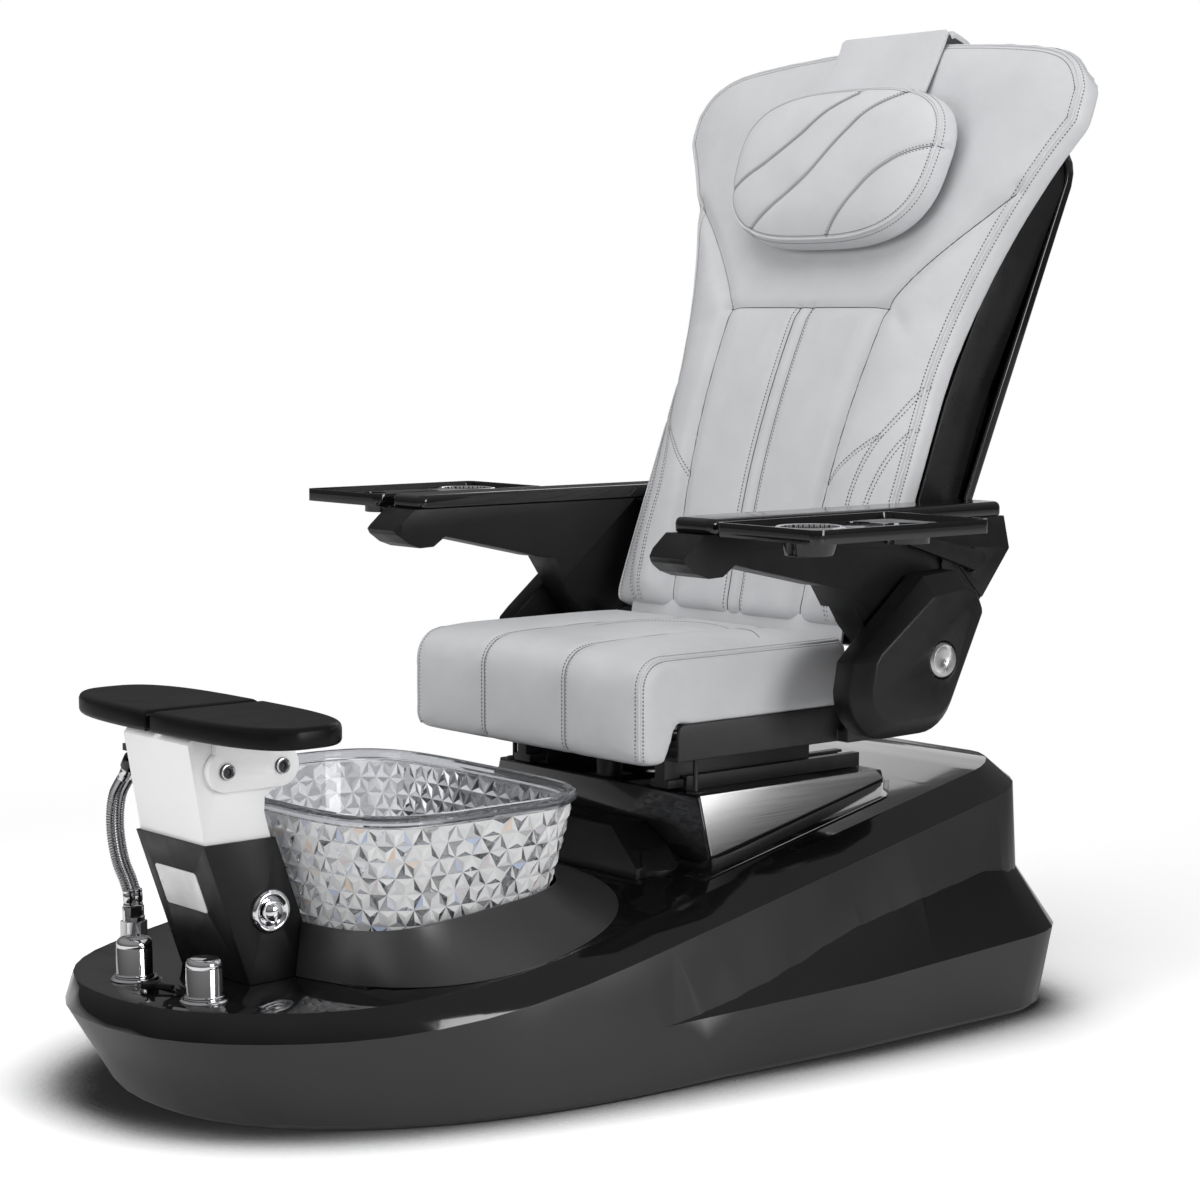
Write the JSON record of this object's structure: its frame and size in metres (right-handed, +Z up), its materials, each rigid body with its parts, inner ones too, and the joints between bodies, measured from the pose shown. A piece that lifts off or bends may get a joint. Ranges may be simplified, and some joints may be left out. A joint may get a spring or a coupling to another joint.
{
  "type": "pedicure spa chair",
  "caption": "Reclining massage chair on a sliding carriage over a gloss black base with a cut glass foot bowl, telescoping foot rest, swing-up arms and flip-up side trays.",
  "frame": {"origin": "centre of the floor pan's underside, on the floor under the front of the seat", "axes": "+X to the sitter's left, +Y to the rear of the chair, +Z up"},
  "size_m": [1.1, 1.4627, 1.3928],
  "materials": {
    "gloss_black": "gloss moulded shell",
    "satin_black": "fine satin grain",
    "galvanised": "plain sheet",
    "painted_steel": "satin powder coat",
    "black_steel": "dark bolts",
    "clear_glass": "cut facets",
    "chrome": "polished",
    "grey_plastic": "plain moulded",
    "brushed_steel": "brushed",
    "bright_steel": "ground",
    "panel_grey": "smooth panel",
    "brass": "cast and turned",
    "white_satin": "satin enamel",
    "grey_leather": "fine grain, double stitched"
  },
  "bodies": {
    "base": {"base_shell": "gloss_black", "base_pan": "galvanised", "chassis_frame": "painted_steel", "bowl_ring": "satin_black", "glass_bowl": "clear_glass", "drain_flange": "chrome", "drain_pipe": "grey_plastic", "jet_cover": "satin_black", "jet_pump": "grey_plastic", "pedestal_box": "gloss_black", "pedestal_skirt": "gloss_black", "steel_trims": "brushed_steel", "fixed_rails": "painted_steel", "slide_motor": "painted_steel", "column_housing": "satin_black", "touch_panel": "panel_grey", "knob_bezel": "chrome", "valve_bodies": "brass", "tap_flanges": "chrome", "hose_nut": "chrome", "spray_hoses": "brushed_steel", "sprayer_dock": "satin_black", "sprayer_head": "gloss_black"},
    "drain_stopper_body": {"drain_stopper": "chrome"},
    "hot_knob_body": {"hot_knob": "chrome"},
    "cold_knob_body": {"cold_knob": "chrome"},
    "column_knob_body": {"column_knob": "chrome"},
    "drain_lever_body": {"drain_lever": "satin_black"},
    "foot_rest": {"column_upper": "white_satin", "pad_plates": "white_satin", "plate_bolts": "black_steel", "left_foot_pad": "gloss_black", "right_foot_pad": "gloss_black"},
    "carriage": {"moving_rails": "painted_steel", "slide_rod": "bright_steel", "seat_frame": "painted_steel", "seat_cushion": "grey_leather", "pivot_shafts": "bright_steel", "left_pivot_cover": "satin_black", "right_pivot_cover": "satin_black", "pivot_caps": "brushed_steel", "recline_motor": "painted_steel"},
    "recline_rod_body": {"recline_rod": "bright_steel"},
    "left_arm_body": {"left_arm": "satin_black", "left_arm_pad": "gloss_black"},
    "right_arm_body": {"right_arm": "satin_black", "right_arm_pad": "gloss_black"},
    "left_tray_body": {"left_tray": "gloss_black", "left_cup": "chrome", "left_tray_bracket": "satin_black"},
    "right_tray_body": {"right_tray": "gloss_black", "right_cup": "chrome", "right_tray_bracket": "satin_black"},
    "back": {"back_frame": "painted_steel", "back_cushion": "grey_leather", "back_body": "satin_black", "back_cover": "gloss_black", "headrest_strap": "grey_leather"},
    "massage_carriage_body": {"massage_carriage": "grey_plastic"},
    "headrest": {"headrest_pillow": "grey_leather"}
  },
  "joints": [
    {"name": "seat_slide", "type": "slide", "parent": "base", "child": "carriage", "axis": [0, 1, 0], "range_m": [0, 0.08]},
    {"name": "back_recline", "type": "hinge", "parent": "carriage", "child": "back", "pos_m": [0, 0.388, 0.516], "axis": [-1, 0, 0], "range_deg": [0, 30]},
    {"name": "recline_drive", "type": "slide", "parent": "carriage", "child": "recline_rod_body", "axis": [0, -1, 0], "range_m": [0, 0.0535]},
    {"name": "left_arm_lift", "type": "hinge", "parent": "carriage", "child": "left_arm_body", "pos_m": [0.315, 0.388, 0.516], "axis": [-1, 0, 0], "range_deg": [0, 75]},
    {"name": "right_arm_lift", "type": "hinge", "parent": "carriage", "child": "right_arm_body", "pos_m": [-0.315, 0.388, 0.516], "axis": [-1, 0, 0], "range_deg": [0, 75]},
    {"name": "left_tray_flip", "type": "hinge", "parent": "left_arm_body", "child": "left_tray_body", "pos_m": [0.33, 0.499, 0.642], "axis": [-1, 0, 0], "range_deg": [0, 100]},
    {"name": "right_tray_flip", "type": "hinge", "parent": "right_arm_body", "child": "right_tray_body", "pos_m": [-0.33, 0.499, 0.642], "axis": [-1, 0, 0], "range_deg": [0, 100]},
    {"name": "headrest_flip", "type": "hinge", "parent": "back", "child": "headrest", "pos_m": [0, 0.6854, 1.38982], "axis": [-1, 0, 0], "range_deg": [0, 120]},
    {"name": "massage_travel", "type": "slide", "parent": "back", "child": "massage_carriage_body", "axis": [0, 0.36, 0.933], "range_m": [-0.19, 0.27]},
    {"name": "foot_rest_lift", "type": "slide", "parent": "base", "child": "foot_rest", "axis": [0, -0.3305, 0.9438], "range_m": [0, 0.06]},
    {"name": "hot_turn", "type": "hinge", "parent": "base", "child": "hot_knob_body", "pos_m": [-0.05, -0.599, 0.15], "axis": [0, 0, 1], "range_deg": [0, 270]},
    {"name": "cold_turn", "type": "hinge", "parent": "base", "child": "cold_knob_body", "pos_m": [0.103, -0.592, 0.15], "axis": [0, 0, 1], "range_deg": [0, 270]},
    {"name": "column_knob_turn", "type": "hinge", "parent": "base", "child": "column_knob_body", "pos_m": [0.08, -0.482, 0.241], "axis": [1, 0, 0], "range_deg": [-90, 90]},
    {"name": "drain_lever_turn", "type": "hinge", "parent": "base", "child": "drain_lever_body", "pos_m": [0.007, -0.612, 0.15], "axis": [0, 0, 1], "range_deg": [0, 60]},
    {"name": "drain_stopper_lift", "type": "slide", "parent": "base", "child": "drain_stopper_body", "axis": [0, 0, 1], "range_m": [0, 0.0099]}
  ],
  "couplings": [
    {"joint": "recline_drive", "follows": "back_recline", "m_per_rad": 0.1003},
    {"joint": "drain_lever_turn", "follows": "drain_stopper_lift", "rad_per_m": 104.72}
  ]
}
